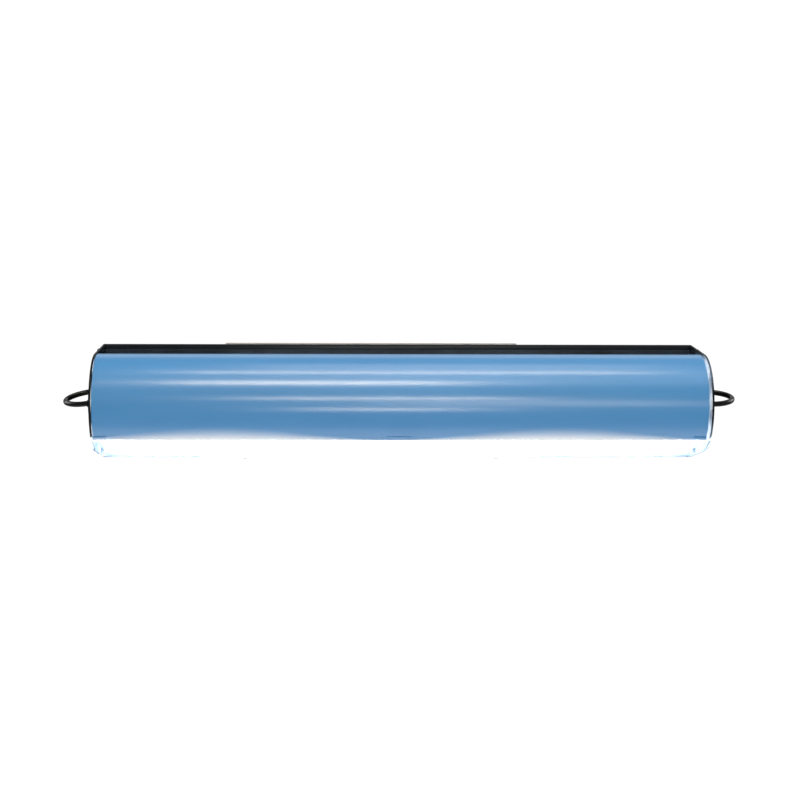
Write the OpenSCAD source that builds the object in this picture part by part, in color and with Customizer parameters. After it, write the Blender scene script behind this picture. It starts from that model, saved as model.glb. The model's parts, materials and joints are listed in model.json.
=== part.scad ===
// Wall-mounted light tube: a lit opal tube with a half-round shade that turns round it.
// Millimetres. X runs along the tube, +Y points into the wall, +Z is up.
// The origin is on the wall plane, level with the tube's axis, midway between the end plates.

/* [Body] */
// Length over the outer faces of the two end plates
body_len = 610; // [560:1:1200]
// Distance from the wall plane out to the tube's axis
axis_out = 80; // [78:1:90]
// Radius of the round nose of each end plate
disc_r = 49; // [49:0.5:52]
// Thickness of the end plates
plate_t = 2; // [1.5:0.5:3]

/* [Housing] */
// Height of the folded wall housing
housing_h = 117; // [114:1:124]
// Distance from the tube's axis back to the housing's front face
housing_front = 55; // [54:1:56]
// Sheet thickness of the housing
sheet_t = 1.5; // [1:0.25:2]
// Outer radius of the housing's two long bends
bend_r = 6; // [4:0.5:8]
// Gap between the housing's rear edges and the wall
wall_gap = 2.5; // [2.5:0.5:4]

/* [Wall bracket] */
// Width of the wall bracket
bracket_w = 305; // [290:1:330]
// Height of the wall bracket
bracket_h = 120; // [118:1:124]
// Thickness of the wall bracket
bracket_t = 2; // [1.5:0.5:2]
// Sideways place of the wall bracket's centre
bracket_x = -28; // [-40:1:-20]
// Spacing of the wall slots along the bracket
slot_dx = 220; // [160:1:240]
// Spacing of the wall slots up the bracket
slot_dz = 80; // [60:1:84]
// Length of each wall slot, end to end
slot_len = 16; // [10:1:20]
// Width of each wall slot
slot_w = 5.5; // [4.5:0.5:7]
// Radius of the hole through the cable grommet
entry_r = 5; // [4:0.5:6]

/* [Shade] */
// Outer radius of the shade
shade_r = 48.5; // [48:0.5:49]
// Sheet thickness of the shade
shade_t = 1.5; // [1:0.25:1.5]
// Length of the shade
shade_len = 602.4; // [550:0.2:1190]
// Sideways place of the shade between the end plates
shade_x = -1.1; // [-1.2:0.1:0]
// Sideways place of the pivots and handles
pivot_x = -0.6; // [-0.8:0.1:0.8]
// Angle of the shade's lower edge, counted up from straight ahead
shade_low = -49; // [-60:1:-40]
// Arc that the shade covers
shade_arc = 180; // [170:1:184]

/* [Light tube] */
// Outer radius of the opal tube
tube_r = 44; // [42:0.5:44]
// Length of the opal tube without its caps
tube_len = 585; // [535:1:1170]
// Wall thickness of the opal cover
diffuser_t = 2.5; // [2:0.5:3]
// Distance from the axis back to the flat of the heat sink that the LED board sits on
profile_flat = 30; // [30:1:34]
// Number of LEDs on the board
led_count = 36; // [12:1:60]

/* [Handles] */
// Diameter of the handle wire
wire_d = 5.4; // [4:0.2:6]
// Width between the centre lines of a handle's two legs
loop_w = 37.5; // [34:0.5:40]
// Reach of a handle beyond the end plate
loop_out = 31.3; // [30:0.1:36]
// Centre-line radius of a handle's two shoulders
shoulder_r = 24; // [20:1:26]
// Angle that each shoulder turns through
shoulder_turn = 50; // [40:1:55]
// Tilt of the handles, the leg nearer the wall being higher
loop_tilt = 17; // [0:0.5:40]
// Distance from the tube's axis to the plane of each handle
loop_lift = 5; // [0:0.5:6]
// Angle that the left handle is bent down by
left_droop = 8; // [0:1:12]

/* [Hidden] */
$fn = 64;

PAINT_BLACK = "#1b1d20";
PAINT_GREY = "#a9aaac";
SHADE_BLUE = "#4a83b4";
OPAL = "#f2f6f8";
ZINC = "#b9bcc0";
ALU = "#c9ccd0";
RUBBER = "#2a2a2a";

plate_in = body_len / 2 - plate_t;
housing_back = axis_out - wall_gap;
bracket_front = axis_out - bracket_t;
half_h = housing_h / 2;
inside_front = housing_front + sheet_t;

// Screw sizes
m4_r = 2;
m4_head_r = 3.8;
m4_head_h = 2.2;
m4_nut_r = 4;
m4_nut_h = 3;
clinch_r = 2.6;
clinch_h = 1.2;
m3_r = 1.5;
m3_head_r = 2.8;
m3_head_h = 1.6;
fit = 0.2;

// Bracket tabs
tab_x = 130;
tab_w = 24;
tab_top = half_h - sheet_t - 0.3;
tab_screw_u = bracket_front - 8;
hook_z = 43;
hook_reach = 14;
hook_up = 10;
lip_u = bracket_front - hook_reach + bracket_t + 1.5;

// End-plate fixings, as [depth behind the axis, height]
gusset_at = [30, 50];
rear_at = [68, 42];
ear_w = 10;
gusset_ear = 6;
plate_fixings = [
    [gusset_at[0], gusset_at[1]], [gusset_at[0], -gusset_at[1]],
    [rear_at[0], rear_at[1]], [rear_at[0], -rear_at[1]]
];

// Pivots
pin_r = 7;
pin_fit = 0.05;
pin_neck_r = 4.5;
bush_r = 9;
bush_flange_r = 12;
bush_flange_t = 0.6;
bush_inner = 0.8;
arm_t = 2;
shade_end = shade_len / 2;
arm_end = shade_end - 1;
hub_gap = 1.9;
hub_in = body_len / 2 + hub_gap;
hub_t = 1.6;
hub_r = 23;
hub_out = hub_in + hub_t;
washer_r = 11;
washer_t = 0.6;
socket_h = 1.2;
socket_wall = 0.8;
m5_r = 2.5;
m5_head_r = 4.6;
m5_head_h = 2.4;

// Shade arms
arm_hub_r = 13;
arm_w = 14;
arm_feet = [-65, 0, 65];
foot_arc = 16;
foot_len = 14;
foot_t = 1.2;
shade_mid = shade_low + shade_arc / 2;
clip_t = 0.6;
clip_h = 6;
// Edge clips, as [first x, last x] from the middle of the shade
clips = [[-shade_len / 2, -shade_len / 2 + 13], [-14, 10], [shade_len / 2 - 13, shade_len / 2]];

// Tube supports
support_x = 200;
support_l = 40;
support_h = 20;
support_screw_dx = 14;
lead_r = 2;
lead_way_r = 4;
cap_t = 3;
cap_plug = 4;
cap_screw_u = profile_flat + 2;
cap_screw_z = 14;
cap_screw_l = 10;
board_h = 24;
board_t = 1.6;

// Driver and wiring, by place inside the housing
driver_x = [50, 210];
driver_z = [10, 40];
driver_d = 18;
flange_l = 8;
flange_t = 3;
block_x = [-55, -21];
block_z = [14, 34];
block_d = 16;
clamp_x = -75;
clamp_z = 24;
earth_at = [-70, -25];
wire_u = inside_front + 9;

// Handle outline: the nose arc that joins the two shoulders
nose_r = (loop_w / 2 - shoulder_r * (1 - cos(shoulder_turn))) / cos(shoulder_turn);
leg_end = loop_out - wire_d / 2 - nose_r - (shoulder_r - nose_r) * sin(shoulder_turn);
leg_start = hub_gap + hub_t + socket_h;

// The slope from each long bend of the housing down to the round nose is tangent to both
bend_at = [housing_front + bend_r, half_h - bend_r];
slope_normal = atan2(-bend_at[1], -bend_at[0]) - acos((bend_r - disc_r) / norm(bend_at));
slope_dir = [cos(slope_normal), sin(slope_normal)];

function arc_points(centre, r, from, to, steps) =
    [for (i = [0:steps]) let (a = from + (to - from) * i / steps) centre + r * [cos(a), sin(a)]];

// A 2-D outline in (depth behind the axis, height), drawn out along X
module along_x(x0, x1) {
    translate([x0, -axis_out, 0]) rotate([90, 0, 90]) linear_extrude(x1 - x0) children();
}

// A round bar along X through a point given as [depth behind the axis, height]
module bar_x(x0, x1, r, at = [0, 0]) {
    translate([x0, at[0] - axis_out, at[1]]) rotate([0, 90, 0]) cylinder(h = x1 - x0, r = r);
}

// A round bar along Y between two depths behind the axis
module bar_y(u0, u1, r, x, z = 0) {
    translate([x, u0 - axis_out, z]) rotate([-90, 0, 0]) cylinder(h = u1 - u0, r = r);
}

// A round bar along Z
module bar_z(z0, z1, r, x, u) {
    translate([x, u - axis_out, z0]) cylinder(h = z1 - z0, r = r);
}

// A box between two corners given as [x, depth behind the axis, height]
module block(a, b) {
    translate([a[0], a[1] - axis_out, a[2]]) cube(b - a);
}

module on_side(side) {
    mirror([side < 0 ? 1 : 0, 0, 0]) children();
}

// Left (-1) or right (+1) pivot, which sit a little off centre together
module on_pivot_side(side) {
    translate([pivot_x, 0, 0]) on_side(side) children();
}

// Part of a ring between two radii and two angles, angles counted up from straight ahead
module ring_part(r0, r1, a0, a1) {
    far = 4 * r1;
    mirror([1, 0]) intersection() {
        difference() {
            circle(r = r1, $fn = 128);
            circle(r = r0, $fn = 128);
        }
        if (a1 - a0 < 180)
            polygon([[0, 0], far * [cos(a0), sin(a0)], far * [cos((a0 + a1) / 2), sin((a0 + a1) / 2)],
                     far * [cos(a1), sin(a1)]]);
        else
            rotate(a0) translate([-far, 0]) square([2 * far, far]);
    }
}

module plate_outline() {
    bend = arc_points(bend_at, bend_r, slope_normal + 360, 90, 4);
    top = concat(bend, [[housing_back, half_h]]);
    bottom = [for (i = [len(top) - 1:-1:0]) [top[i][0], -top[i][1]]];
    polygon(concat(top, bottom, arc_points([0, 0], disc_r, -slope_normal, slope_normal + 360, 72)));
}

module housing_outline(inset) {
    r = bend_r - inset;
    for (s = [1, -1]) translate([bend_at[0], s * bend_at[1]]) circle(r = r);
    translate([housing_front + inset, -half_h + bend_r]) square([bend_r, housing_h - 2 * bend_r]);
    translate([bend_at[0], -half_h + inset])
        square([housing_back - bend_at[0] + inset, housing_h - 2 * inset]);
}

// Pan-head screw along X with its head on the outer (+X) side of x
module screw_x(x, len, at) {
    bar_x(x, x + m4_head_h, m4_head_r, at);
    bar_x(x - len, x, m4_r, at);
}

module wall_bracket() {
    color(PAINT_GREY) difference() {
        union() {
            block([bracket_x - bracket_w / 2, bracket_front, -bracket_h / 2],
                  [bracket_x + bracket_w / 2, axis_out, bracket_h / 2]);
            for (s = [-1, 1]) translate([bracket_x + s * tab_x, 0, 0]) {
                block([-tab_w / 2, bracket_front - hook_reach, hook_z],
                      [tab_w / 2, bracket_front, hook_z + bracket_t]);
                block([-tab_w / 2, bracket_front - hook_reach, hook_z],
                      [tab_w / 2, bracket_front - hook_reach + bracket_t, hook_z + hook_up]);
                block([-tab_w / 2, bracket_front - hook_reach, -tab_top],
                      [tab_w / 2, bracket_front, -tab_top + bracket_t]);
            }
        }
        for (sx = [-1, 1], sz = [-1, 1], e = [-1, 1])
            bar_y(bracket_front - 1, axis_out + 1, slot_w / 2,
                  bracket_x + sx * slot_dx / 2 + e * (slot_len - slot_w) / 2, sz * slot_dz / 2);
        for (sx = [-1, 1], sz = [-1, 1]) translate([bracket_x + sx * slot_dx / 2, 0, sz * slot_dz / 2])
            block([-(slot_len - slot_w) / 2, bracket_front - 1, -slot_w / 2],
                  [(slot_len - slot_w) / 2, axis_out + 1, slot_w / 2]);
        bar_y(bracket_front - 1, axis_out + 1, entry_r + 6, bracket_x);
        for (s = [-1, 1])
            bar_z(-tab_top - 1, -tab_top + bracket_t + 1, m4_r + fit, bracket_x + s * tab_x, tab_screw_u);
    }
}

module cable_grommet() {
    color(RUBBER) difference() {
        union() {
            bar_y(bracket_front, axis_out, entry_r + 6, bracket_x);
            bar_y(bracket_front - 1.5, bracket_front, entry_r + 9, bracket_x);
        }
        bar_y(bracket_front - 3, axis_out + 1, entry_r, bracket_x);
    }
}

module housing() {
    ear_x = plate_in - sheet_t;
    color(PAINT_BLACK) difference() {
        union() {
            along_x(-plate_in, plate_in) difference() {
                housing_outline(0);
                housing_outline(sheet_t);
                translate([housing_back, -half_h - 1]) square([sheet_t + 2, housing_h + 2]);
            }
            // Ears folded from the front panel, which the end plates screw to
            for (side = [-1, 1], s = [-1, 1]) on_side(side) {
                block([ear_x, gusset_at[0] - gusset_ear / 2, s * gusset_at[1] - gusset_ear / 2],
                      [plate_in, inside_front, s * gusset_at[1] + gusset_ear / 2]);
                block([ear_x, housing_front + sheet_t / 2, s * rear_at[1] - ear_w / 2],
                      [plate_in, rear_at[0] + ear_w / 2, s * rear_at[1] + ear_w / 2]);
            }
            // Lip that hangs on the bracket's hooks
            block([bracket_x - bracket_w / 2, lip_u, hook_z + bracket_t], [bracket_x + bracket_w / 2,
                  lip_u + sheet_t, half_h - sheet_t / 2]);
        }
        for (x = [-support_x, 0, support_x], s = [-1, 1])
            bar_y(housing_front - 1, inside_front + 1, m4_r + fit, x + s * support_screw_dx);
        bar_y(housing_front - 1, inside_front + 1, lead_way_r + 1, 0);
        for (side = [-1, 1], at = plate_fixings)
            on_side(side) bar_x(ear_x - 1, plate_in + 1, m4_r + fit, at);
        for (s = [-1, 1])
            bar_z(-half_h - 1, -half_h + sheet_t + 1, m4_r + fit, bracket_x + s * tab_x, tab_screw_u);
    }
}

module housing_screws() {
    color(ZINC) for (s = [-1, 1]) {
        x = bracket_x + s * tab_x;
        bar_z(-half_h - m4_head_h, -half_h, m4_head_r, x, tab_screw_u);
        bar_z(-half_h, -tab_top + bracket_t, m4_r, x, tab_screw_u);
        bar_z(-tab_top + bracket_t, -tab_top + bracket_t + m4_nut_h, m4_nut_r, x, tab_screw_u);
    }
}

module end_plate(side) {
    color(PAINT_BLACK) on_side(side) difference() {
        along_x(plate_in, body_len / 2) plate_outline();
        bar_x(plate_in - 1, body_len / 2 + 1, bush_r);
        for (at = plate_fixings) bar_x(plate_in - 1, body_len / 2 + 1, m4_r + fit, at);
    }
}

module end_plate_screws() {
    color(PAINT_BLACK) for (side = [-1, 1], at = plate_fixings)
        on_side(side) screw_x(body_len / 2, plate_t + sheet_t, at);
}

// Full nuts behind the rear ears, and small clinched ones on the narrow front ears
module end_plate_nuts() {
    nut_x = plate_in - sheet_t;
    color(PAINT_BLACK) for (side = [-1, 1], s = [-1, 1]) on_side(side) {
        bar_x(nut_x - m4_nut_h, nut_x, m4_nut_r, [rear_at[0], s * rear_at[1]]);
        bar_x(nut_x - clinch_h, nut_x, clinch_r, [gusset_at[0], s * gusset_at[1]]);
    }
}

module pivot_bush(side) {
    color("#e8e4d8") on_side(side) difference() {
        union() {
            bar_x(plate_in - bush_inner, body_len / 2, bush_r);
            bar_x(body_len / 2, body_len / 2 + bush_flange_t, bush_flange_r);
        }
        bar_x(plate_in - 3, body_len / 2 + 3, pin_r + pin_fit);
    }
}

// Spacer that carries the heat sink in front of the housing
module tube_support(x, has_way) {
    color(PAINT_BLACK) difference() {
        block([x - support_l / 2, tube_r - 4, -support_h / 2],
              [x + support_l / 2, housing_front, support_h / 2]);
        bar_x(x - support_l, x + support_l, tube_r);
        for (s = [-1, 1]) bar_y(housing_front - 7, housing_front + 1, m4_r, x + s * support_screw_dx);
        if (has_way) bar_y(tube_r - 10, housing_front + 1, lead_way_r, x);
    }
}

module support_screws() {
    color(ZINC) for (x = [-support_x, 0, support_x], s = [-1, 1]) {
        bar_y(inside_front, inside_front + m4_head_h, m4_head_r, x + s * support_screw_dx);
        bar_y(housing_front - 7, inside_front, m4_r, x + s * support_screw_dx);
    }
}

module heat_sink() {
    half = tube_len / 2;
    groove_w = 2.4;
    color(ALU) difference() {
        along_x(-half, half) difference() {
            intersection() {
                circle(r = tube_r, $fn = 128);
                translate([profile_flat, -tube_r]) square([tube_r, 2 * tube_r]);
            }
            // Cooling grooves in the back, clear of the supports
            for (i = [0:3], s = [-1, 1])
                translate([profile_flat + 4, s * (support_h / 2 + 2 + 4 * i) - groove_w / 2])
                    square([tube_r, groove_w]);
        }
        bar_y(profile_flat - 1, tube_r + 1, lead_way_r, 0);
        for (side = [-1, 1], s = [-1, 1]) on_side(side)
            bar_x(half - cap_screw_l, half + 1, m3_r, [cap_screw_u, s * cap_screw_z]);
    }
}

module led_board() {
    half = tube_len / 2 - 4;
    color("#f4f4f0")
        block([-half, profile_flat - board_t, -board_h / 2], [half, profile_flat, board_h / 2]);
}

module leds() {
    pitch = (tube_len - 16) / led_count;
    color("#ffe9a8") for (i = [0:led_count - 1]) {
        x = (i - (led_count - 1) / 2) * pitch;
        block([x - 1.75, profile_flat - board_t - 0.8, -1.4], [x + 1.75, profile_flat - board_t, 1.4]);
    }
}

module diffuser() {
    color(OPAL) along_x(-tube_len / 2, tube_len / 2) difference() {
        circle(r = tube_r, $fn = 128);
        circle(r = tube_r - diffuser_t, $fn = 128);
        translate([profile_flat, -tube_r]) square([tube_r, 2 * tube_r]);
    }
}

module tube_cap(side) {
    half = tube_len / 2;
    color(OPAL) on_side(side) difference() {
        union() {
            bar_x(half, half + cap_t, tube_r);
            along_x(half - cap_plug, half) intersection() {
                circle(r = tube_r - diffuser_t - fit, $fn = 128);
                translate([-tube_r, -tube_r]) square([tube_r + profile_flat - board_t - 2, 2 * tube_r]);
            }
        }
        bar_x(half - cap_plug - 1, half, tube_r - diffuser_t - 3);
        for (s = [-1, 1])
            bar_x(half - 1, half + cap_t + 1, m3_r + fit, [cap_screw_u, s * cap_screw_z]);
    }
}

module tube_cap_screws() {
    half = tube_len / 2 + cap_t;
    color(ZINC) for (side = [-1, 1], s = [-1, 1]) on_side(side) {
        at = [cap_screw_u, s * cap_screw_z];
        bar_x(half, half + m3_head_h, m3_head_r, at);
        bar_x(half - cap_t - cap_screw_l, half, m3_r, at);
    }
}

module driver() {
    u0 = inside_front;
    color("#e6e7e9") difference() {
        union() {
            block([driver_x[0], u0, driver_z[0]], [driver_x[1], u0 + driver_d, driver_z[1]]);
            block([driver_x[0] - flange_l, u0, driver_z[0] + 9],
                  [driver_x[1] + flange_l, u0 + flange_t, driver_z[1] - 9]);
        }
        for (x = [driver_x[0] - flange_l / 2, driver_x[1] + flange_l / 2])
            bar_y(u0 - 1, u0 + flange_t + 1, m3_r + fit, x, (driver_z[0] + driver_z[1]) / 2);
    }
}

module driver_screws() {
    u0 = inside_front;
    color(ZINC) for (x = [driver_x[0] - flange_l / 2, driver_x[1] + flange_l / 2]) {
        bar_y(u0 + flange_t, u0 + flange_t + m3_head_h, m3_head_r, x, (driver_z[0] + driver_z[1]) / 2);
        bar_y(u0, u0 + flange_t, m3_r, x, (driver_z[0] + driver_z[1]) / 2);
    }
}

module terminal_block() {
    u0 = inside_front;
    poles = 3;
    pitch = (block_z[1] - block_z[0]) / poles;
    color("#f0f0ec") difference() {
        block([block_x[0], u0, block_z[0]], [block_x[1], u0 + block_d, block_z[1]]);
        for (i = [0:poles - 1]) {
            z = block_z[0] + (i + 0.5) * pitch;
            bar_x(block_x[0] - 1, block_x[0] + 8, 1.6, [wire_u, z]);
            bar_x(block_x[1] - 8, block_x[1] + 1, 1.6, [wire_u, z]);
            bar_y(u0 + block_d - 4, u0 + block_d + 1, 1.8, (block_x[0] + block_x[1]) / 2, z);
        }
    }
}

module cable_clamp() {
    u0 = inside_front;
    color("#d9d9d4") difference() {
        block([clamp_x - 5, u0, clamp_z - 14], [clamp_x + 5, u0 + 12, clamp_z + 14]);
        bar_x(clamp_x - 6, clamp_x + 6, 4, [u0 + 6, clamp_z]);
        for (s = [-1, 1]) bar_y(u0 - 1, u0 + 13, m3_r + fit, clamp_x, clamp_z + s * 9.5);
    }
}

module clamp_screws() {
    u0 = inside_front;
    color(ZINC) for (s = [-1, 1]) {
        bar_y(u0, u0 + 12, m3_r, clamp_x, clamp_z + s * 9.5);
        bar_y(u0 + 12, u0 + 12 + m3_head_h, m3_head_r, clamp_x, clamp_z + s * 9.5);
    }
}

module earth_stud() {
    u0 = inside_front;
    color("#c8a24a") {
        bar_y(u0, u0 + 12, m4_r, earth_at[0], earth_at[1]);
        bar_y(u0, u0 + 1, 5, earth_at[0], earth_at[1]);
        bar_y(u0 + 4, u0 + 4 + m4_nut_h, m4_nut_r, earth_at[0], earth_at[1]);
    }
}

module mains_leads() {
    pitch = (block_z[1] - block_z[0]) / 3;
    color("#8a4b2a") for (i = [1, 2])
        bar_x(block_x[1] - 7, driver_x[0], 1.1, [wire_u, block_z[0] + (i + 0.5) * pitch]);
}

// Lead from the driver to the LED board, through the middle support
module led_lead() {
    route = [[driver_x[0], wire_u, driver_z[0] + 3], [driver_x[0] - 22, wire_u, driver_z[0] + 3],
             [0, wire_u, 0], [0, profile_flat, 0]];
    color("#e9e9e9") for (i = [0:len(route) - 2]) {
        a = route[i] - [0, axis_out, 0];
        step = route[i + 1] - route[i];
        flat = norm([step[0], step[1]]);
        translate(a) rotate([0, atan2(flat, step[2]), atan2(step[1], step[0])])
            cylinder(h = norm(step), r = lead_r);
        if (i > 0) translate(a) sphere(r = lead_r);
    }
}

module lead_grommet() {
    color(RUBBER) difference() {
        union() {
            bar_y(housing_front, inside_front, lead_way_r + 1, 0);
            bar_y(inside_front, inside_front + 1.2, lead_way_r + 3, 0);
        }
        bar_y(housing_front - 1, inside_front + 3, lead_r + 0.05, 0);
    }
}

module shade() {
    hem_r = 1;
    hem_at = shade_r - hem_r - 0.2;
    color(SHADE_BLUE) translate([shade_x, 0, 0]) along_x(-shade_end, shade_end) {
        ring_part(shade_r - shade_t, shade_r, shade_low, shade_low + shade_arc);
        for (a = [shade_low, shade_low + shade_arc])
            translate(hem_at * [-cos(a), sin(a)]) circle(r = hem_r);
    }
}

// Edge guards folded round the shade's lower edge
module edge_clips() {
    span = clip_h / shade_r * 180 / PI;
    color("#3c76a8") translate([shade_x, 0, 0]) for (c = clips)
        along_x(c[0], c[1]) ring_part(shade_r, shade_r + clip_t, shade_low, shade_low + span);
}

module shade_arm(side) {
    r_in = shade_r - shade_t;
    color(PAINT_BLACK) on_pivot_side(side) {
        along_x(arm_end - arm_t, arm_end) difference() {
            union() {
                circle(r = arm_hub_r);
                for (a = arm_feet) intersection() {
                    circle(r = r_in, $fn = 128);
                    mirror([1, 0]) rotate(shade_mid + a) translate([0, -arm_w / 2])
                        square([2 * r_in, arm_w]);
                }
            }
            circle(r = pin_neck_r);
        }
        along_x(arm_end - arm_t - foot_len, arm_end - arm_t) for (a = arm_feet)
            ring_part(r_in - foot_t, r_in, shade_mid + a - foot_arc / 2, shade_mid + a + foot_arc / 2);
    }
}

// Turned pin riveted into the arm, which runs in the end plate's bush
module pivot_pin(side) {
    color(ZINC) on_pivot_side(side) difference() {
        union() {
            bar_x(arm_end, hub_in, pin_r);
            bar_x(arm_end - arm_t, arm_end, pin_neck_r);
        }
        bar_x(shade_end, hub_in + 1, m5_r);
    }
}

module wave_washer(side) {
    color(ZINC) on_pivot_side(side) difference() {
        bar_x(hub_in - washer_t, hub_in, washer_r);
        bar_x(hub_in - 2, hub_in + 1, pin_r + pin_fit);
    }
}

// Places of a handle's two legs, as [depth behind the axis, height]
function leg_at(s) = [
    cos(loop_tilt) * s - sin(loop_tilt) * loop_lift,
    sin(loop_tilt) * s + cos(loop_tilt) * loop_lift
];

module handle_plate(side) {
    color(PAINT_BLACK) on_pivot_side(side) difference() {
        union() {
            bar_x(hub_in, hub_out, hub_r);
            for (s = [-loop_w / 2, loop_w / 2])
                bar_x(hub_out, hub_out + socket_h, wire_d / 2 + socket_wall, leg_at(s));
        }
        for (s = [-loop_w / 2, loop_w / 2])
            bar_x(hub_out, hub_out + socket_h + 1, wire_d / 2, leg_at(s));
        bar_x(hub_in - 1, hub_out + 1, m5_r + fit);
    }
}

module pivot_screw(side) {
    color(ZINC) on_pivot_side(side) difference() {
        union() {
            bar_x(hub_out, hub_out + m5_head_h, m5_head_r);
            bar_x(shade_end, hub_out, m5_r);
        }
        translate([hub_out + 1, -axis_out, 0]) rotate([0, 90, 0]) cylinder(h = 3, r = 1.7, $fn = 6);
    }
}

// Centre line of one half of a handle, as [reach beyond its socket, distance from the middle]
function half_loop() =
    let (straight = leg_end - leg_start,
         nose_x = straight + (shoulder_r - nose_r) * sin(shoulder_turn))
    concat([[-socket_h, loop_w / 2], [0, loop_w / 2]],
           arc_points([straight, loop_w / 2 - shoulder_r], shoulder_r, 90, 90 - shoulder_turn, 6),
           arc_points([nose_x, 0], nose_r, 90 - shoulder_turn - 8, 0, 4));

function whole_loop() =
    let (half = half_loop(), n = len(half))
    concat(half, [for (i = [n - 2:-1:0]) [half[i][0], -half[i][1]]]);

// Bends the reach beyond the socket down by the droop angle
function drooped(p, droop) =
    let (d = p[0] > 0 ? droop : 0) [p[0] * cos(d), p[1], -p[0] * sin(d)];

// A round tube along a list of points that lie close to the XY plane
module tube(points, r, sides = 12) {
    n = len(points);
    rings = [for (i = [0:n - 1])
        let (t = points[min(i + 1, n - 1)] - points[max(i - 1, 0)],
             side = cross([0, 0, 1], t) / norm(cross([0, 0, 1], t)),
             up = cross(t, side) / norm(t))
        for (k = [0:sides - 1])
            points[i] + r * (cos(360 * k / sides) * side + sin(360 * k / sides) * up)];
    skin = [for (i = [0:n - 2], k = [0:sides - 1])
        let (j = (k + 1) % sides)
        each [[i * sides + k, (i + 1) * sides + k, i * sides + j],
              [i * sides + j, (i + 1) * sides + k, (i + 1) * sides + j]]];
    ends = [[for (k = [0:sides - 1]) k], [for (k = [sides - 1:-1:0]) (n - 1) * sides + k]];
    polyhedron(rings, concat(skin, ends), convexity = 4);
}

module handle(side, droop) {
    color(PAINT_BLACK) on_pivot_side(side)
        translate([body_len / 2 + leg_start, -axis_out, 0]) rotate([loop_tilt, 0, 0])
            translate([0, 0, loop_lift]) tube([for (p = whole_loop()) drooped(p, droop)], wire_d / 2);
}

wall_bracket();
cable_grommet();
housing();
housing_screws();
end_plate(-1);  // end_plate_left
end_plate(1);  // end_plate_right
end_plate_screws();
end_plate_nuts();
pivot_bush(-1);  // pivot_bush_left
pivot_bush(1);  // pivot_bush_right
tube_support(-support_x, false);  // tube_support_left
tube_support(0, true);  // tube_support_mid
tube_support(support_x, false);  // tube_support_right
support_screws();
heat_sink();
led_board();
leds();
diffuser();
tube_cap(-1);  // tube_cap_left
tube_cap(1);  // tube_cap_right
tube_cap_screws();
driver();
driver_screws();
terminal_block();
cable_clamp();
clamp_screws();
earth_stud();
mains_leads();
led_lead();
lead_grommet();
shade();
edge_clips();
shade_arm(-1);  // shade_arm_left
shade_arm(1);  // shade_arm_right
pivot_pin(-1);  // pivot_pin_left
pivot_pin(1);  // pivot_pin_right
wave_washer(-1);  // wave_washer_left
wave_washer(1);  // wave_washer_right
handle_plate(-1);  // handle_plate_left
handle_plate(1);  // handle_plate_right
pivot_screw(-1);  // pivot_screw_left
pivot_screw(1);  // pivot_screw_right
handle(-1, left_droop);  // handle_left
handle(1, 0);  // handle_right
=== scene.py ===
import json
import math

import bmesh
import bpy
from mathutils import Matrix, Vector


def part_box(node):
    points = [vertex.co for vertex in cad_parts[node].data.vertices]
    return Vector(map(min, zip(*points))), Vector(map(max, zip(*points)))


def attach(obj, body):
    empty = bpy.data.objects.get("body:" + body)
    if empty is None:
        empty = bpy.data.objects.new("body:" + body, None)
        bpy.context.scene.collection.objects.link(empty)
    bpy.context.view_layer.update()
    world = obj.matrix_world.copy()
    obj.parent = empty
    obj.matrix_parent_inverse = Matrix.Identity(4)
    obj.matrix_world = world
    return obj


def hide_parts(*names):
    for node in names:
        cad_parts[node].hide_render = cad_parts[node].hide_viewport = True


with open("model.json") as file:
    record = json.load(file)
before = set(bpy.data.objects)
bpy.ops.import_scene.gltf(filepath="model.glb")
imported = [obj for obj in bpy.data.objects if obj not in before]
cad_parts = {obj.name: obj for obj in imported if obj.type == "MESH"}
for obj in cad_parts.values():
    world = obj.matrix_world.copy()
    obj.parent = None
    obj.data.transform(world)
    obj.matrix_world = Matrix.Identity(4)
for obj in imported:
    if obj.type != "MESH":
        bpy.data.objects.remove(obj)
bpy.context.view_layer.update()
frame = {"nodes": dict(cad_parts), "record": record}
WALL, TURN = "wall_unit", "shade_unit"
scene = bpy.context.scene
MM = 0.001
AXIS_Y = -0.080  # the tube's axis and the shade's turning axis, in front of the wall plane
PLATE_X = 305  # outer face of an end plate from the middle, in mm
PIVOT_X = -0.6  # the shade unit sits this far off the middle, in mm
SIDES = 48  # corners of a turned part

# Button-head screws in mm: head radius, head height, shank radius, socket radius
M3, M4, M5 = (2.8, 1.6, 1.5, 1.1), (3.8, 2.2, 2.0, 1.5), (4.6, 2.4, 2.5, 1.7)


# ---------------------------------------------------------------- camera
def make_camera():
    cam = bpy.data.objects.new("camera", bpy.data.cameras.new("camera"))
    scene.collection.objects.link(cam)
    sensor, width = 36, 800  # in mm, and in pixels of the render
    cam.data.lens = sensor * 1663 / width
    cam.data.sensor_width = sensor
    cam.data.shift_x = 20 / width
    cam.data.shift_y = -23 / width
    yaw, pitch, roll = math.radians(1.61), math.radians(-0.89), math.radians(0.10)
    forward = Vector((math.sin(yaw) * math.cos(pitch), math.cos(yaw) * math.cos(pitch), math.sin(pitch)))
    right = Vector((math.cos(yaw), -math.sin(yaw), 0))
    up = right.cross(forward)
    rolled_right = math.cos(roll) * right + math.sin(roll) * up
    rolled_up = -math.sin(roll) * right + math.cos(roll) * up
    turn = Matrix((rolled_right, rolled_up, -forward)).transposed().to_4x4()
    cam.matrix_world = Matrix.Translation((-0.0679, AXIS_Y - 1.665, 0.0514)) @ turn
    cam.data.clip_start, cam.data.clip_end = 0.05, 50
    scene.camera = cam


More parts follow.
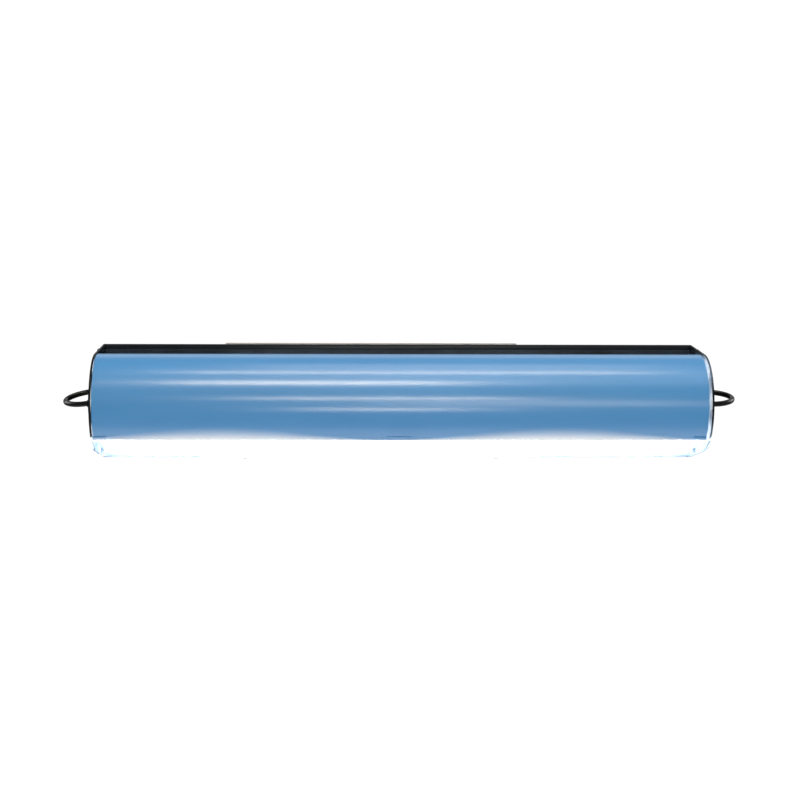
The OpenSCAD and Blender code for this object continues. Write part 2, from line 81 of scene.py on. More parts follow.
# ---------------------------------------------------------------- materials
class Tree:
    """A Principled material and short ways to add nodes to it."""

    def __init__(self, name, **values):
        self.mat = bpy.data.materials.new(name)
        self.mat.use_nodes = True
        self.nt = self.mat.node_tree
        self.p = self.nt.nodes["Principled BSDF"]
        for key, value in values.items():
            self.p.inputs[key.replace("_", " ")].default_value = value

    def node(self, kind, **props):
        n = self.nt.nodes.new("ShaderNode" + kind)
        for key, value in props.items():
            setattr(n, key, value)
        return n

    def put(self, socket, source):
        if hasattr(source, "is_output"):
            self.nt.links.new(source, socket)
        else:
            socket.default_value = source

    def coords(self, scale=(1, 1, 1)):
        place = self.node("TexCoord").outputs["Object"]
        m = self.node("Mapping")
        self.put(m.inputs["Vector"], place)
        m.inputs["Scale"].default_value = scale
        return m.outputs["Vector"]

    def noise(self, scale, detail=3.0, rough=0.55, stretch=(1, 1, 1)):
        n = self.node("TexNoise")
        self.put(n.inputs["Vector"], self.coords(stretch))
        for key, value in (("Scale", scale), ("Detail", detail), ("Roughness", rough)):
            n.inputs[key].default_value = value
        return n.outputs["Fac"]

    def cells(self, scale):
        n = self.node("TexVoronoi", feature="F1")
        self.put(n.inputs["Vector"], self.coords())
        n.inputs["Scale"].default_value = scale
        return n.outputs["Distance"]

    def span(self, fac, lo, hi, a=0.0, b=1.0):
        n = self.node("MapRange")
        self.put(n.inputs["Value"], fac)
        for key, value in (("From Min", lo), ("From Max", hi), ("To Min", a), ("To Max", b)):
            n.inputs[key].default_value = value
        return n.outputs["Result"]

    def maths(self, kind, a, b=0.0):
        n = self.node("Math", operation=kind)
        self.put(n.inputs[0], a)
        self.put(n.inputs[1], b)
        return n.outputs[0]

    def mix(self, fac, a, b):
        n = self.node("Mix", data_type="RGBA")
        self.put(n.inputs["Factor"], fac)
        self.put(n.inputs["A"], a)
        self.put(n.inputs["B"], b)
        return n.outputs["Result"]

    def bump(self, height, strength, distance):
        n = self.node("Bump")
        n.inputs["Strength"].default_value = strength
        n.inputs["Distance"].default_value = distance
        self.put(n.inputs["Height"], height)
        self.put(self.p.inputs["Normal"], n.outputs["Normal"])

    def colour(self, source):
        self.put(self.p.inputs["Base Color"], source)

    def roughness(self, source):
        self.put(self.p.inputs["Roughness"], source)


def rgb(r, g, b):
    """A linear colour from sRGB values of 0 to 255."""
    def lin(c):
        c /= 255
        return c / 12.92 if c <= 0.04045 else ((c + 0.055) / 1.055) ** 2.4
    return (lin(r), lin(g), lin(b), 1.0)


def powder(name, dark, light, grain, rough, gloss, tint=(1, 1, 1, 1)):
    """Powder coat: a fine orange-peel skin with slight cloudiness."""
    t = Tree(name, Specular_IOR_Level=gloss, Specular_Tint=tint)
    t.colour(t.mix(t.span(t.noise(35, 4), 0.35, 0.65), dark, light))
    t.roughness(t.span(t.noise(900, 2), 0.3, 0.7, rough - 0.05, rough + 0.07))
    peel = t.maths("ADD", t.noise(grain, 2, 0.4), t.maths("MULTIPLY", t.cells(grain * 1.7), 0.5))
    t.bump(peel, 0.16, 0.00012)
    return t.mat


def lacquer():
    """Smooth blue lacquer with a clear skin, and painted light along the lower edge: a pale band stands in for the
    tube's light spilling over it.

    The painted light band is highest a quarter of the length from either end, and low at the ends and in the
    middle.
    """
    t = Tree("blue_lacquer", Coat_Weight=0.8, Coat_Roughness=0.2, Specular_IOR_Level=0.45)
    part = t.node("SeparateXYZ")
    t.put(part.inputs[0], t.coords())
    # painted light: this mask whitens the lacquer near the lower edge in place of the tube's spilled light
    crest_x, pitch, edge_z = -0.18, 0.335, -0.0366
    along = t.maths("ADD", part.outputs["X"], -crest_x)
    wave = t.maths("COSINE", t.maths("MULTIPLY", along, 2 * math.pi / pitch))
    reach = t.span(wave, -1, 1, 0.0018, 0.0150)
    above = t.maths("ADD", part.outputs["Z"], -edge_z)
    pale = t.maths("SUBTRACT", 1.0, t.maths("DIVIDE", above, reach))
    pale = t.maths("POWER", t.span(pale, 0, 1), 2.0)
    cloud = t.span(t.noise(14, 4, 0.6, (0.35, 1, 1)), 0.3, 0.7)
    blue = t.mix(cloud, rgb(43, 119, 177), rgb(51, 125, 183))
    # the pale colour mixed in here is painted light from the tube, not a colour of the lacquer
    t.colour(t.mix(pale, blue, (0.86, 0.90, 0.93, 1)))
    t.roughness(t.span(t.noise(60, 3), 0.3, 0.7, 0.38, 0.46))
    t.bump(t.noise(150, 2, 0.4, (0.1, 1, 1)), 0.014, 0.0002)
    return t.mat


def metal(name, dark, light, rough, stretch=(1, 1, 1), scratch=0.05):
    """Plated or extruded metal with fine lines drawn along one way."""
    t = Tree(name, Metallic=1.0)
    t.colour(t.mix(t.span(t.noise(60, 4), 0.3, 0.7), dark, light))
    lines = t.noise(1400, 3, 0.6, stretch)
    t.roughness(t.span(lines, 0.3, 0.7, rough - 0.06, rough + 0.1))
    t.bump(lines, scratch, 0.00008)
    return t.mat


def plastic(name, dark, light, rough, grain=1200, depth=0.08):
    """Moulded plastic with a fine spark-eroded grain."""
    t = Tree(name)
    t.colour(t.mix(t.span(t.noise(40, 4), 0.35, 0.65), dark, light))
    t.roughness(t.span(t.noise(300, 2), 0.3, 0.7, rough - 0.06, rough + 0.06))
    t.bump(t.noise(grain, 2), depth, 0.0001)
    return t.mat


def opal(name, glow):
    """Lit opal plastic."""
    t = Tree(name, Subsurface_Weight=0.0, Coat_Weight=0.3, Coat_Roughness=0.1,
             Emission_Color=(0.90, 0.965, 1.0, 1), Emission_Strength=glow)
    t.colour(t.mix(t.span(t.noise(25, 3), 0.3, 0.7), (0.90, 0.93, 0.95, 1), (0.94, 0.96, 0.98, 1)))
    t.roughness(t.span(t.noise(120, 2), 0.3, 0.7, 0.26, 0.36))
    t.bump(t.noise(500, 2), 0.04, 0.0001)
    return t.mat


def phosphor():
    """Yellow resin over the LED chips."""
    t = Tree("led_phosphor", Emission_Color=(1.0, 0.93, 0.75, 1), Emission_Strength=6.0)
    t.colour(t.mix(t.span(t.noise(2500, 3), 0.3, 0.7), (0.85, 0.66, 0.16, 1), (0.95, 0.78, 0.3, 1)))
    t.roughness(t.span(t.noise(900, 2), 0.3, 0.7, 0.3, 0.5))
    return t.mat


def make_materials():
    """One material for each slot, and wire_gloss for the handles."""
    return {
        # the black coat's bluish specular tint is a painted reflection: it stands in for the blue shade mirrored in
        # the glossy black
        "black_paint": powder("black_powder_coat", rgb(9, 13, 18), rgb(14, 18, 24), 1500, 0.32, 0.13,
                              (0.72, 0.89, 1.0, 1)),
        "grey_paint": powder("grey_powder_coat", rgb(172, 173, 176), rgb(184, 185, 188), 1300, 0.5, 0.4),
        "blue_paint": lacquer(),
        "rubber": plastic("black_rubber", (0.012, 0.012, 0.013, 1), (0.02, 0.02, 0.02, 1), 0.72, 800, 0.15),
        "zinc_steel": metal("zinc_plate", (0.50, 0.52, 0.55, 1), (0.66, 0.67, 0.68, 1), 0.32),
        "brass": metal("brass", (0.68, 0.48, 0.17, 1), (0.80, 0.60, 0.26, 1), 0.3),
        "bearing_plastic": plastic("bearing_plastic", rgb(222, 216, 200), rgb(232, 227, 212), 0.5),
        "aluminium": metal("drawn_aluminium", (0.68, 0.69, 0.71, 1), (0.78, 0.79, 0.80, 1), 0.36,
                           (0.02, 1, 1), 0.1),
        "circuit_board": plastic("solder_mask", rgb(236, 237, 232), rgb(244, 244, 240), 0.35, 2000, 0.04),
        "led_phosphor": phosphor(),
        "opal_cover": opal("opal_cover", 8.0),
        "opal_cap": opal("opal_cap", 4.0),
        "white_plastic": plastic("white_plastic", rgb(222, 223, 225), rgb(232, 233, 234), 0.45),
        "wire_brown": plastic("brown_insulation", rgb(96, 52, 30), rgb(112, 62, 36), 0.42, 600, 0.05),
        "wire_white": plastic("white_insulation", rgb(220, 221, 222), rgb(232, 232, 232), 0.4, 600, 0.05),
        "wire_gloss": powder("wire_gloss_enamel", rgb(6, 6, 8), rgb(10, 10, 12), 900, 0.24, 0.22),
    }


# ---------------------------------------------------------------- mesh helpers
def shade_by_angle(obj, degrees=35):
    for poly in obj.data.polygons:
        poly.use_smooth = True
    bm = bmesh.new()
    bm.from_mesh(obj.data)
    for e in bm.edges:
        e.smooth = len(e.link_faces) == 2 and e.calc_face_angle(0) < math.radians(degrees)
    bm.to_mesh(obj.data)
    bm.free()


def add_piece(name, bm, slot, body, replaced=(), angle=35):
    """A mesh piece that takes a slot's finish, rides a body and stands for CAD nodes."""
    me = bpy.data.meshes.new(name)
    bmesh.ops.recalc_face_normals(bm, faces=bm.faces)
    bm.to_mesh(me)
    bm.free()
    obj = bpy.data.objects.new(name, me)
    scene.collection.objects.link(obj)
    me.materials.append(MATS[slot])
    shade_by_angle(obj, angle)
    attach(obj, body)
    if replaced:
        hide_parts(*replaced)
    return obj


def frame_of(axis):
    """An axis at unit length and two directions square to it."""
    axis = Vector(axis).normalized()
    side = Vector((0, 0, 1)) if abs(axis.z) < 0.9 else Vector((1, 0, 0))
    u = axis.cross(side).normalized()
    return axis, u, axis.cross(u)


def angles(sides):
    return [2 * math.pi * k / sides for k in range(sides)]


def ring(bm, at, axis, along, radii):
    """Vertices round an axis at a distance along it, one for each radius. Both are in mm, and at is in metres."""
    axis, u, v = frame_of(axis)
    return [bm.verts.new(at + axis * along * MM + (u * math.cos(a) + v * math.sin(a)) * r * MM)
            for a, r in zip(angles(len(radii)), radii)]


def hexagon(corner_r, limit=math.inf):
    """Radii of a hexagon's outline, cut to a circle where it reaches past the limit."""
    flat = corner_r * math.cos(math.pi / 6)
    return [min(flat / math.cos((a % (math.pi / 3)) - math.pi / 6), limit) for a in angles(SIDES)]


def bridge(bm, a, b):
    """Faces between two rings, or between a ring and a single point."""
    sides = max(len(a), len(b))
    for k in range(sides):
        j = (k + 1) % sides
        if len(a) == 1:
            bm.faces.new((a[0], b[k], b[j]))
        elif len(b) == 1:
            bm.faces.new((a[k], b[0], a[j]))
        else:
            bm.faces.new((a[k], b[k], b[j], a[j]))


def pour(bm, one):
    """Adds one bmesh to another and frees it."""
    me = bpy.data.meshes.new("tmp")
    one.to_mesh(me)
    one.free()
    bm.from_mesh(me)
    bpy.data.meshes.remove(me)


def lathe(bm, at, axis, profile, sides=SIDES, wave=None):
    """Turns a profile of (distance along axis, radius) points, in mm, round the axis. A radius of 0 closes it."""
    axis, u, v = frame_of(axis)
    at = Vector(at)
    rings = []
    for along, r in profile:
        if r <= 0:
            rings.append([bm.verts.new(at + axis * along * MM)])
            continue
        turned = []
        for a in angles(sides):
            lift = along + (wave(a) if wave else 0)
            turned.append(bm.verts.new(at + axis * lift * MM + (u * math.cos(a) + v * math.sin(a)) * r * MM))
        rings.append(turned)
    if profile[0] == profile[-1]:
        for extra in rings[-1]:
            bm.verts.remove(extra)
        rings[-1] = rings[0]
    for a, b in zip(rings, rings[1:]):
        bridge(bm, a, b)


def hex_socket(bm, at, axis, top, radius, depth, outer, edge_r):
    """End face of a screw head: a flat ring round a hexagonal socket, and the socket's walls and floor."""
    at = Vector(at)
    out = ring(bm, at, axis, top, [outer] * SIDES)
    rim = ring(bm, at, axis, top, hexagon(radius + edge_r))
    lip = ring(bm, at, axis, top - edge_r, hexagon(radius))
    low = ring(bm, at, axis, top - depth, hexagon(radius * 0.99))
    tip = bm.verts.new(at + frame_of(axis)[0] * (top - depth - radius * 0.35) * MM)
    for a, b in ((out, rim), (rim, lip), (lip, low), (low, [tip])):
        bridge(bm, a, b)


def screw(bm, at, axis, size, shank_l):
    """Button-head screw with a hexagonal socket. at is under the head, and axis points out of the head."""
    head_r, head_h, shank_r, socket = size
    dome = [(head_h * math.sin(a), head_r - (head_r - socket - 0.9) * (1 - math.cos(a)))
            for a in [math.radians(d) for d in (25, 50, 70, 90)]]
    crest_r, root_r, pitch = shank_r * 0.97, shank_r * 0.86, 0.7
    profile = [(-shank_l, 0), (-shank_l, shank_r * 0.75), (-shank_l + 0.4, crest_r)]
    turns = max(2, int(shank_l / pitch))
    for i in range(turns):
        z = -shank_l + 0.6 + (shank_l - 1.0) * i / turns
        profile += [(z, crest_r), (z + 0.25, root_r)]
    profile += [(-0.02, crest_r), (0, shank_r), (0, head_r - 0.2), (0.15, head_r)] + dome
    lathe(bm, at, axis, profile)
    top, outer = dome[-1]
    hex_socket(bm, at, axis, top, socket, head_h * 0.6, outer, 0.12)
    bmesh.ops.remove_doubles(bm, verts=bm.verts, dist=1e-6)


def nut(bm, at, axis, corner_r, height, bore_r):
    """Hexagonal nut with turned corners and a plain bore. at is its near face, and it grows along axis."""
    flat = corner_r * math.cos(math.pi / 6)
    levels = [(0, flat * 0.97), (height * 0.12, corner_r), (height * 0.88, corner_r), (height, flat * 0.97)]
    rings = [ring(bm, at, axis, along, hexagon(corner_r, limit)) for along, limit in levels]
    for along, r in [(height, bore_r + 0.15), (height - 0.3, bore_r), (0.3, bore_r), (0, bore_r + 0.15)]:
        rings.append(ring(bm, at, axis, along, [r] * SIDES))
    for a, b in zip(rings, rings[1:] + rings[:1]):
        bridge(bm, a, b)


def islands(node):
    """The separate solids of a CAD node as (lowest corner, highest corner) pairs, in order from left to right."""
    me = frame["nodes"][node].data
    bm = bmesh.new()
    bm.from_mesh(me)
    bmesh.ops.remove_doubles(bm, verts=bm.verts, dist=1e-7)
    bm.verts.ensure_lookup_table()
    seen, found = set(), []
    for start in bm.verts:
        if start.index in seen:
            continue
        stack, pts = [start], []
        seen.add(start.index)
        while stack:
            w = stack.pop()
            pts.append(w.co.copy())
            for e in w.link_edges:
                o = e.other_vert(w)
                if o.index not in seen:
                    seen.add(o.index)
                    stack.append(o)
        lo = Vector([min(p[i] for p in pts) for i in range(3)])
        hi = Vector([max(p[i] for p in pts) for i in range(3)])
        found.append((lo, hi))
    bm.free()
    return sorted(found, key=lambda b: tuple(round(c, 5) for c in (b[0] + b[1])))


def round_edges(obj, width, segments, angle):
    """A bevel in mm on the edges that are sharper than an angle in degrees."""
    bevel = obj.modifiers.new("edges", "BEVEL")
    bevel.width = width * MM
    bevel.segments = segments
    bevel.limit_method = "ANGLE"
    bevel.angle_limit = math.radians(angle)


def soften(node, width, segments):
    """Rounds a CAD node's sharp edges. Only modifiers are added, so the node itself stays as it is."""
    obj = frame["nodes"][node]
    weld = obj.modifiers.new("weld", "WELD")
    weld.merge_threshold = 1e-6
    round_edges(obj, width, segments, 35)


# ---------------------------------------------------------------- shade
def arc_strip(bm, x0, x1, outline):
    """Draws a closed outline of (y, z) points about the tube's axis out along X. All are in mm."""
    rings = [[bm.verts.new((x * MM, AXIS_Y + y * MM, z * MM)) for y, z in outline] for x in (x0, x1)]
    bridge(bm, *rings)
    return rings


def shade_outline(r, t, low, arc, hem):
    """Section of the half-round shade in mm and degrees: outer arc, a rolled hem, inner arc, a rolled hem."""
    steps, hem_steps = 96, 12
    inset = 0.2
    centre_r = r - hem - inset

    def at(radius, degrees):
        a = math.radians(degrees)
        return (-radius * math.cos(a), radius * math.sin(a))

    def roll(degrees, sign):
        """From the outside round the free edge to the inside."""
        mid = at(centre_r, degrees)
        a = math.radians(degrees)
        radial = Vector((-math.cos(a), math.sin(a)))
        tangent = Vector((math.sin(a), math.cos(a))) * sign
        out = []
        for k in range(1, hem_steps):
            b = -math.pi * 0.46 + (math.pi * 1.02) * k / hem_steps
            d = radial * -math.sin(b) + tangent * math.cos(b)
            out.append((mid[0] + hem * d.x, mid[1] + hem * d.y))
        return out
    pts = [at(r, low + arc * i / steps) for i in range(steps + 1)]
    pts += roll(low + arc, 1)
    pts += [at(r - t, low + arc - arc * i / steps) for i in range(steps + 1)]
    pts += reversed(roll(low, -1))
    return pts


def make_shade():
    lo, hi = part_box("shade")
    radius, thickness, low_edge, arc, hem_r = 48.5, 1.5, -49.0, 180.0, 1.0
    bm = bmesh.new()
    rings = arc_strip(bm, lo.x * 1000, hi.x * 1000, shade_outline(radius, thickness, low_edge, arc, hem_r))
    for ends in rings:
        # close the section by a strip of quads between its outer and inner sides
        n = len(ends)
        for k in range(n // 2 - 1):
            bm.faces.new((ends[k], ends[k + 1], ends[n - 2 - k], ends[n - 1 - k]))
    bmesh.ops.remove_doubles(bm, verts=bm.verts, dist=1e-7)
    sharp = 50
    round_edges(add_piece("shade_sheet", bm, "blue_paint", TURN, ["shade"], sharp), 0.3, 3, sharp)


# ---------------------------------------------------------------- handles
def wire_line(width, reach, leg_r, leg_turn, start, steps=12):
    """Centre line of a wire loop as (distance out, distance sideways) in mm: two legs, two shoulders and a nose."""
    nose_r = (width / 2 - leg_r * (1 - math.cos(leg_turn))) / math.cos(leg_turn)
    straight = reach - nose_r - (leg_r - nose_r) * math.sin(leg_turn) - start
    nose_x = straight + (leg_r - nose_r) * math.sin(leg_turn)
    half = [(-1.2, width / 2), (-0.6, width / 2), (0.0, width / 2)]
    for i in range(steps + 1):
        a = math.pi / 2 - leg_turn * i / steps
        half.append((straight + leg_r * math.cos(a), width / 2 - leg_r + leg_r * math.sin(a)))
    for i in range(1, steps + 1):
        a = (math.pi / 2 - leg_turn) * (1 - i / steps)
        half.append((nose_x + nose_r * math.cos(a), nose_r * math.sin(a)))
    return half + [(x, -y) for x, y in reversed(half[:-1])]


def make_handle(side):
    """Wire loop of one side, -1 for left. It is tilted round X, and the left one is bent down a little."""
    name = "handle_left" if side < 0 else "handle_right"
    loop_w, loop_out, wire_d = 37.5, 31.3, 5.4
    tilt, lift = math.radians(17), 5.0
    droop = math.radians(8) if side < 0 else 0.0
    hub_gap, hub_t, socket_h = 1.9, 1.6, 1.2
    start = hub_gap + hub_t + socket_h
    pts = []
    base_x = side * (PLATE_X + start) + PIVOT_X
    for x, w in wire_line(loop_w, loop_out - wire_d / 2, 24.0, math.radians(50), start):
        d = droop * min(1.0, max(0.0, x / 3.0))
        out, up = x * math.cos(d), -x * math.sin(d) + lift
        y = math.cos(tilt) * w - math.sin(tilt) * up
        z = math.sin(tilt) * w + math.cos(tilt) * up
        pts.append(Vector(((base_x + side * out) * MM, AXIS_Y + y * MM, z * MM)))
    bm = bmesh.new()
    sweep(bm, pts, wire_d / 2)
    obj = add_piece(name + "_wire", bm, "black_paint", TURN, [name], 60)
    obj.data.materials[0] = MATS["wire_gloss"]


def sweep(bm, pts, radius, sides=24):
    """A round rod with a radius in mm along points in metres, with slightly rounded ends."""
    n = len(pts)
    tangents = [(pts[min(i + 1, n - 1)] - pts[max(i - 1, 0)]).normalized() for i in range(n)]
    side = frame_of(tangents[0])[1]
    rings = []
    for p, tangent in zip(pts, tangents):
        side = (side - tangent * side.dot(tangent)).normalized()
        up = tangent.cross(side)
        rings.append([bm.verts.new(p + (side * math.cos(a) + up * math.sin(a)) * radius * MM)
                      for a in angles(sides)])
    for a, b in zip(rings, rings[1:]):
        bridge(bm, a, b)
    for rim, tangent in ((rings[0], -tangents[0]), (rings[-1], tangents[-1])):
        middle = sum((v.co for v in rim), Vector()) / sides
        cap = [bm.verts.new(middle + (v.co - middle) * 0.8 + tangent * 0.25 * MM) for v in rim]
        bridge(bm, rim, cap)
        bm.faces.new(cap)


# ---------------------------------------------------------------- small hardware
def make_screws():
    jobs = {
        "end_plate_screws": ("black_paint", M4),
        "support_screws": ("zinc_steel", M4),
        "tube_cap_screws": ("zinc_steel", M3),
        "driver_screws": ("zinc_steel", M3),
        "clamp_screws": ("zinc_steel", M3),
    }
    for node, (slot, size) in jobs.items():
        head_h = size[1]
        bm = bmesh.new()
        for lo, hi in islands(node):
            mid, span = (lo + hi) / 2, hi - lo
            if node in ("end_plate_screws", "tube_cap_screws"):
                way = 1 if mid.x > 0 else -1
                top = hi.x if way > 0 else lo.x
                at = Vector((top - way * head_h * MM, mid.y, mid.z))
                axis, length = (way, 0, 0), span.x * 1000 - head_h
            else:
                at = Vector((mid.x, hi.y - head_h * MM, mid.z))
                axis, length = (0, 1, 0), span.y * 1000 - head_h
            one = bmesh.new()
            screw(one, at, axis, size, length)
            pour(bm, one)
        add_piece(node + "_socket_head", bm, slot, WALL, [node], 32)

    bm = bmesh.new()
    head_h, nut_h = M4[1], 3.0
    for lo, hi in islands("housing_screws"):
        mid = (lo + hi) / 2
        one = bmesh.new()
        screw(one, Vector((mid.x, mid.y, lo.z + head_h * MM)), (0, 0, -1), M4, (hi.z - lo.z) * 1000 - head_h)
        nut(one, Vector((mid.x, mid.y, hi.z - nut_h * MM)), (0, 0, 1), 4.0, nut_h, 1.9)
        pour(bm, one)
    add_piece("housing_screws_and_nuts", bm, "zinc_steel", WALL, ["housing_screws"], 32)

    bm = bmesh.new()
    for lo, hi in islands("end_plate_nuts"):
        mid, span = (lo + hi) / 2, hi - lo
        way = 1 if mid.x > 0 else -1
        near = hi.x if way > 0 else lo.x
        bore_r = 1.9 if span.y > 0.006 else 1.8  # full nuts behind the rear ears, small ones in front
        nut(bm, Vector((near, mid.y, mid.z)), (-way, 0, 0), span.y * 500, span.x * 1000, bore_r)
    add_piece("hexagon_nuts", bm, "black_paint", WALL, ["end_plate_nuts"], 32)


def make_pivots():
    for side, tag in ((-1, "left"), (1, "right")):
        node = "pivot_screw_" + tag
        lo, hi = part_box(node)
        head_h = M5[1]
        tip = hi.x if side > 0 else lo.x
        at = Vector((tip - side * head_h * MM, AXIS_Y, 0))
        bm = bmesh.new()
        screw(bm, at, (side, 0, 0), M5, (hi.x - lo.x) * 1000 - head_h)
        add_piece(node + "_socket_head", bm, "zinc_steel", TURN, [node], 32)

        node = "wave_washer_" + tag
        lo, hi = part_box(node)
        outer, inner, half_t = (hi.y - lo.y) * 500, 7.1, 0.15
        bm = bmesh.new()
        section = [(-half_t, inner), (half_t, inner), (half_t, outer), (-half_t, outer), (-half_t, inner)]
        lathe(bm, ((lo.x + hi.x) / 2, AXIS_Y, 0), (1, 0, 0), section, 96, lambda a: 0.14 * math.sin(3 * a))
        add_piece(node + "_spring", bm, "zinc_steel", TURN, [node], 40)


def make_grommets():
    """Rubber rings. Each has its flange on one face of the sheet, and way points from the flange into the hole."""
    rim = 0.5
    for node, r_hole, r_in, r_out, way, flange in (
            ("cable_grommet", 5.0, 11.0, 14.0, 1, 1.5),
            ("lead_grommet", 2.05, 5.0, 7.0, -1, 1.2)):
        lo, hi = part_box(node)
        mid = (lo + hi) / 2
        y0, y1 = lo.y * 1000, hi.y * 1000
        length = y1 - y0
        start = y0 if way > 0 else y1
        profile = [(0.4, r_hole), (0.1, r_hole + rim * 0.6), (0, r_hole + rim * 1.4), (0, r_out - rim),
                   (rim * 0.3, r_out - rim * 0.3), (rim, r_out), (flange - 0.1, r_out), (flange, r_out - 0.2),
                   (flange, r_in), (length - rim, r_in), (length - rim * 0.3, r_in - rim * 0.3),
                   (length, r_in - rim), (length, r_hole + rim), (length - 0.4, r_hole), (0.4, r_hole)]
        bm = bmesh.new()
        lathe(bm, (mid.x, start * MM, mid.z), (0, way, 0), profile, 72)
        add_piece(node + "_ring", bm, "rubber", WALL, [node], 30)


def make_lead():
    """The LED lead with rounded bends: from the driver to the middle, then forward through the support."""
    lo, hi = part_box("led_lead")
    radius, bend = 2.0, 0.006
    y_wire = hi.y - radius * MM
    z_top = hi.z - radius * MM
    pts = [Vector((hi.x, y_wire, z_top)), Vector((hi.x - 0.022, y_wire, z_top)), Vector((0, y_wire, 0)),
           Vector((0, lo.y, 0))]
    smooth = [pts[0]]
    for before, p, after in zip(pts, pts[1:], pts[2:]):
        a, b = (before - p).normalized(), (after - p).normalized()
        for t in (0, 0.2, 0.4, 0.6, 0.8, 1):
            smooth.append((p + a * bend) * (1 - t) ** 2 + p * 2 * t * (1 - t) + (p + b * bend) * t * t)
    smooth.append(pts[-1])
    bm = bmesh.new()
    sweep(bm, smooth, radius, 16)
    add_piece("led_lead_sleeve", bm, "wire_white", WALL, ["led_lead"], 60)


# ---------------------------------------------------------------- the CAD nodes that stay
def dress_nodes():
    """Gives each CAD node the material of its slot, and rounds the edges of those that show."""
    slots = {s["node"]: s["material_slot"] for s in frame["record"]["subparts"]}
    for name, obj in frame["nodes"].items():
        for s in obj.material_slots:
            s.link = "OBJECT"
            s.material = MATS[slots[name]]
    for names, width, segments in (
            ("wall_bracket housing", 0.3, 2),
            ("end_plate_left end_plate_right", 0.15, 2),
            ("handle_plate_left handle_plate_right shade_arm_left shade_arm_right edge_clips", 0.2, 2),
            ("tube_cap_left tube_cap_right driver terminal_block cable_clamp", 0.6, 3)):
        for name in names.split():
            soften(name, width, segments)


# ---------------------------------------------------------------- surroundings
def area(name, place, target, size, power, colour=(1, 1, 1)):
    """A rectangular light in metres and watts that faces a target."""
    light = bpy.data.lights.new(name, "AREA")
    light.shape = "RECTANGLE"
    light.size, light.size_y = size
    light.energy = power
    light.color = colour
    obj = bpy.data.objects.new(name, light)
    scene.collection.objects.link(obj)
    place = Vector(place)
    aim = (Vector(target) - place).to_track_quat("-Z", "Y").to_matrix().to_4x4()
    obj.matrix_world = Matrix.Translation(place) @ aim
    return obj


def make_world():
    """White to the camera. For light and reflections it is dim, and a little brighter overhead."""
    world = bpy.data.worlds.new("studio")
    scene.world = world
    world.use_nodes = True
    nt = world.node_tree
    back = nt.nodes["Background"]
    ray = nt.nodes.new("ShaderNodeLightPath")
    place = nt.nodes.new("ShaderNodeTexCoord")
    part = nt.nodes.new("ShaderNodeSeparateXYZ")
    nt.links.new(place.outputs["Generated"], part.inputs[0])
    up = nt.nodes.new("ShaderNodeMapRange")
    up.interpolation_type = "SMOOTHSTEP"
    for key, value in (("From Min", 0.05), ("From Max", 0.9), ("To Min", 0.24), ("To Max", 0.36)):
        up.inputs[key].default_value = value
    nt.links.new(part.outputs["Z"], up.inputs["Value"])
    pick = nt.nodes.new("ShaderNodeMix")
    nt.links.new(ray.outputs["Is Camera Ray"], pick.inputs["Factor"])
    nt.links.new(up.outputs["Result"], pick.inputs["A"])
    pick.inputs["B"].default_value = 1.05
    nt.links.new(pick.outputs["Result"], back.inputs["Strength"])
    back.inputs["Color"].default_value = (1, 1, 1, 1)


def make_floor():
    """A pale disc 0.9 m below the lamp, as white to the camera as the world is."""
    bm = bmesh.new()
    bmesh.ops.create_circle(bm, cap_ends=True, segments=64, radius=9.0)
    bmesh.ops.translate(bm, vec=(0, 0, -0.9), verts=bm.verts)
    me = bpy.data.meshes.new("floor")
    bm.to_mesh(me)
    bm.free()
    floor = bpy.data.objects.new("floor", me)
    scene.collection.objects.link(floor)
    t = Tree("pale_floor", Roughness=0.9, Emission_Color=(1, 1, 1, 1))
    ray = t.node("LightPath")
    t.put(t.p.inputs["Emission Strength"], t.span(ray.outputs["Is Camera Ray"], 0, 1, 0.18, 0.85))
    t.colour(t.mix(t.noise(3, 2), (0.40, 0.40, 0.41, 1), (0.43, 0.43, 0.44, 1)))
    me.materials.append(t.mat)


def strip(name, elevation, x, size, power, far=1.6, colour=(1, 1, 1)):
    """A strip light square to the tube's axis, at an elevation in degrees seen from the tube."""
    a = math.radians(elevation)
    place = (x, AXIS_Y - far * math.cos(a), far * math.sin(a))
    return area(name, place, (x, AXIS_Y, 0), size, power, colour)


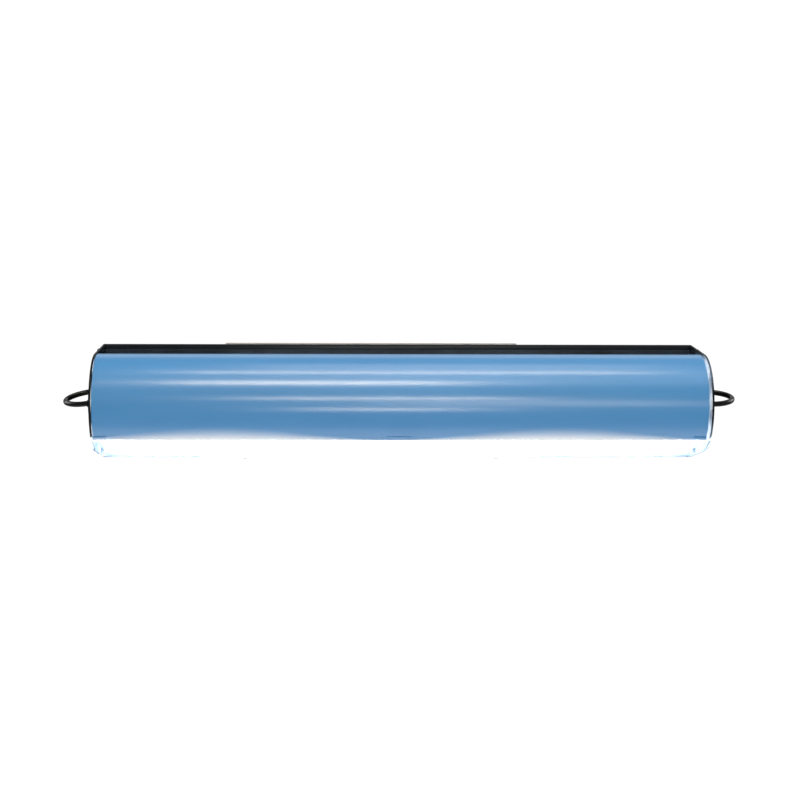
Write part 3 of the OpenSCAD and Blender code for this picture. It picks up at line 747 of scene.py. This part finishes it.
def make_lights():
    # soft light from above, from the front and from below
    strip("haze_top", 92, 0.18, (0.9, 0.8), 4.5, 1.9, (1.0, 0.90, 0.78))
    fill = strip("fill", 25, 0.0, (2.4, 1.6), 8.5, 2.2)
    fill.visible_glossy = False
    strip("soft_front", 58, 0.55, (1.6, 1.1), 6, 2.2)
    strip("soft_low", -74, 0.0, (1.8, 0.4), 2.0, 0.8)
    # the streaks on the shade, from the upper one down, and a wide one at its right end
    warm = (1.0, 0.87, 0.70)
    strip("panel_right", 0, 0.34, (0.60, 0.34), 2.6, colour=warm)
    strip("streak_a", 76, 0.09, (0.90, 0.17), 6.6, colour=warm)
    strip("streak_b", 48, -0.10, (0.54, 0.23), 8.0, colour=warm)
    strip("streak_c", 11, 0.02, (0.52, 0.13), 4.0, colour=warm)
    strip("streak_d", -14, 0.04, (0.30, 0.12), 2.4, colour=warm)
    # from behind the wall plane: they show the ends and the back, and draw a line along the top edge
    area("side_left", (-1.5, 0.25, 0.6), (-0.305, -0.05, 0), (0.9, 0.9), 13)
    area("side_right", (1.5, 0.25, 0.6), (0.305, -0.05, 0), (0.9, 0.9), 13)
    area("behind_high", (0.1, 1.5, 1.2), (0, -0.02, 0.03), (1.8, 0.7), 2)
    behind = area("behind_low", (0, 1.8, 0.1), (0, 0, 0), (1.5, 1.0), 6)
    behind.visible_glossy = False
    # the lit tube's own light on the housing behind it, which is far brighter than the studio
    glow = (1.0, 0.98, 0.92)
    for name, place, target, size, power in (
            ("spill_face", (0, -0.046, -0.040), (0, -0.025, -0.0525), (0.590, 0.010), 26),
            ("spill_bend", (0, -0.052, -0.078), (0, -0.022, -0.056), (0.600, 0.020), 44),
            ("spill_left", (-0.270, -0.066, -0.062), (-0.303, -0.066, -0.046), (0.030, 0.030), 4.2),
            ("spill_right", (0.270, -0.066, -0.062), (0.303, -0.066, -0.046), (0.030, 0.030), 4.2),
            ("gap_right", (0.3008, -0.080, 0.0), (0.3035, -0.080, 0.0), (0.094, 0.094), 2.0)):
        spill = area(name, place, target, size, power, glow)
        spill.visible_camera = False
        spill.visible_glossy = False
    # narrow beams on the lower rims of the end plates
    for side, power in ((-1, 0.08), (1, 0.04)):
        rim = area("rim_left" if side < 0 else "rim_right", (side * 0.3046, -0.116, -0.077),
                   (side * 0.3046, -0.1007, -0.0444), (0.0015, 0.036), power, glow)
        rim.data.spread = math.radians(4)
        rim.visible_camera = False


def make_surroundings():
    scene.view_settings.view_transform = "Standard"
    scene.view_settings.look = "None"
    make_world()
    make_floor()
    make_lights()


make_camera()
MATS = make_materials()
dress_nodes()
make_shade()
make_handle(-1)
make_handle(1)
make_screws()
make_pivots()
make_grommets()
make_lead()
make_surroundings()
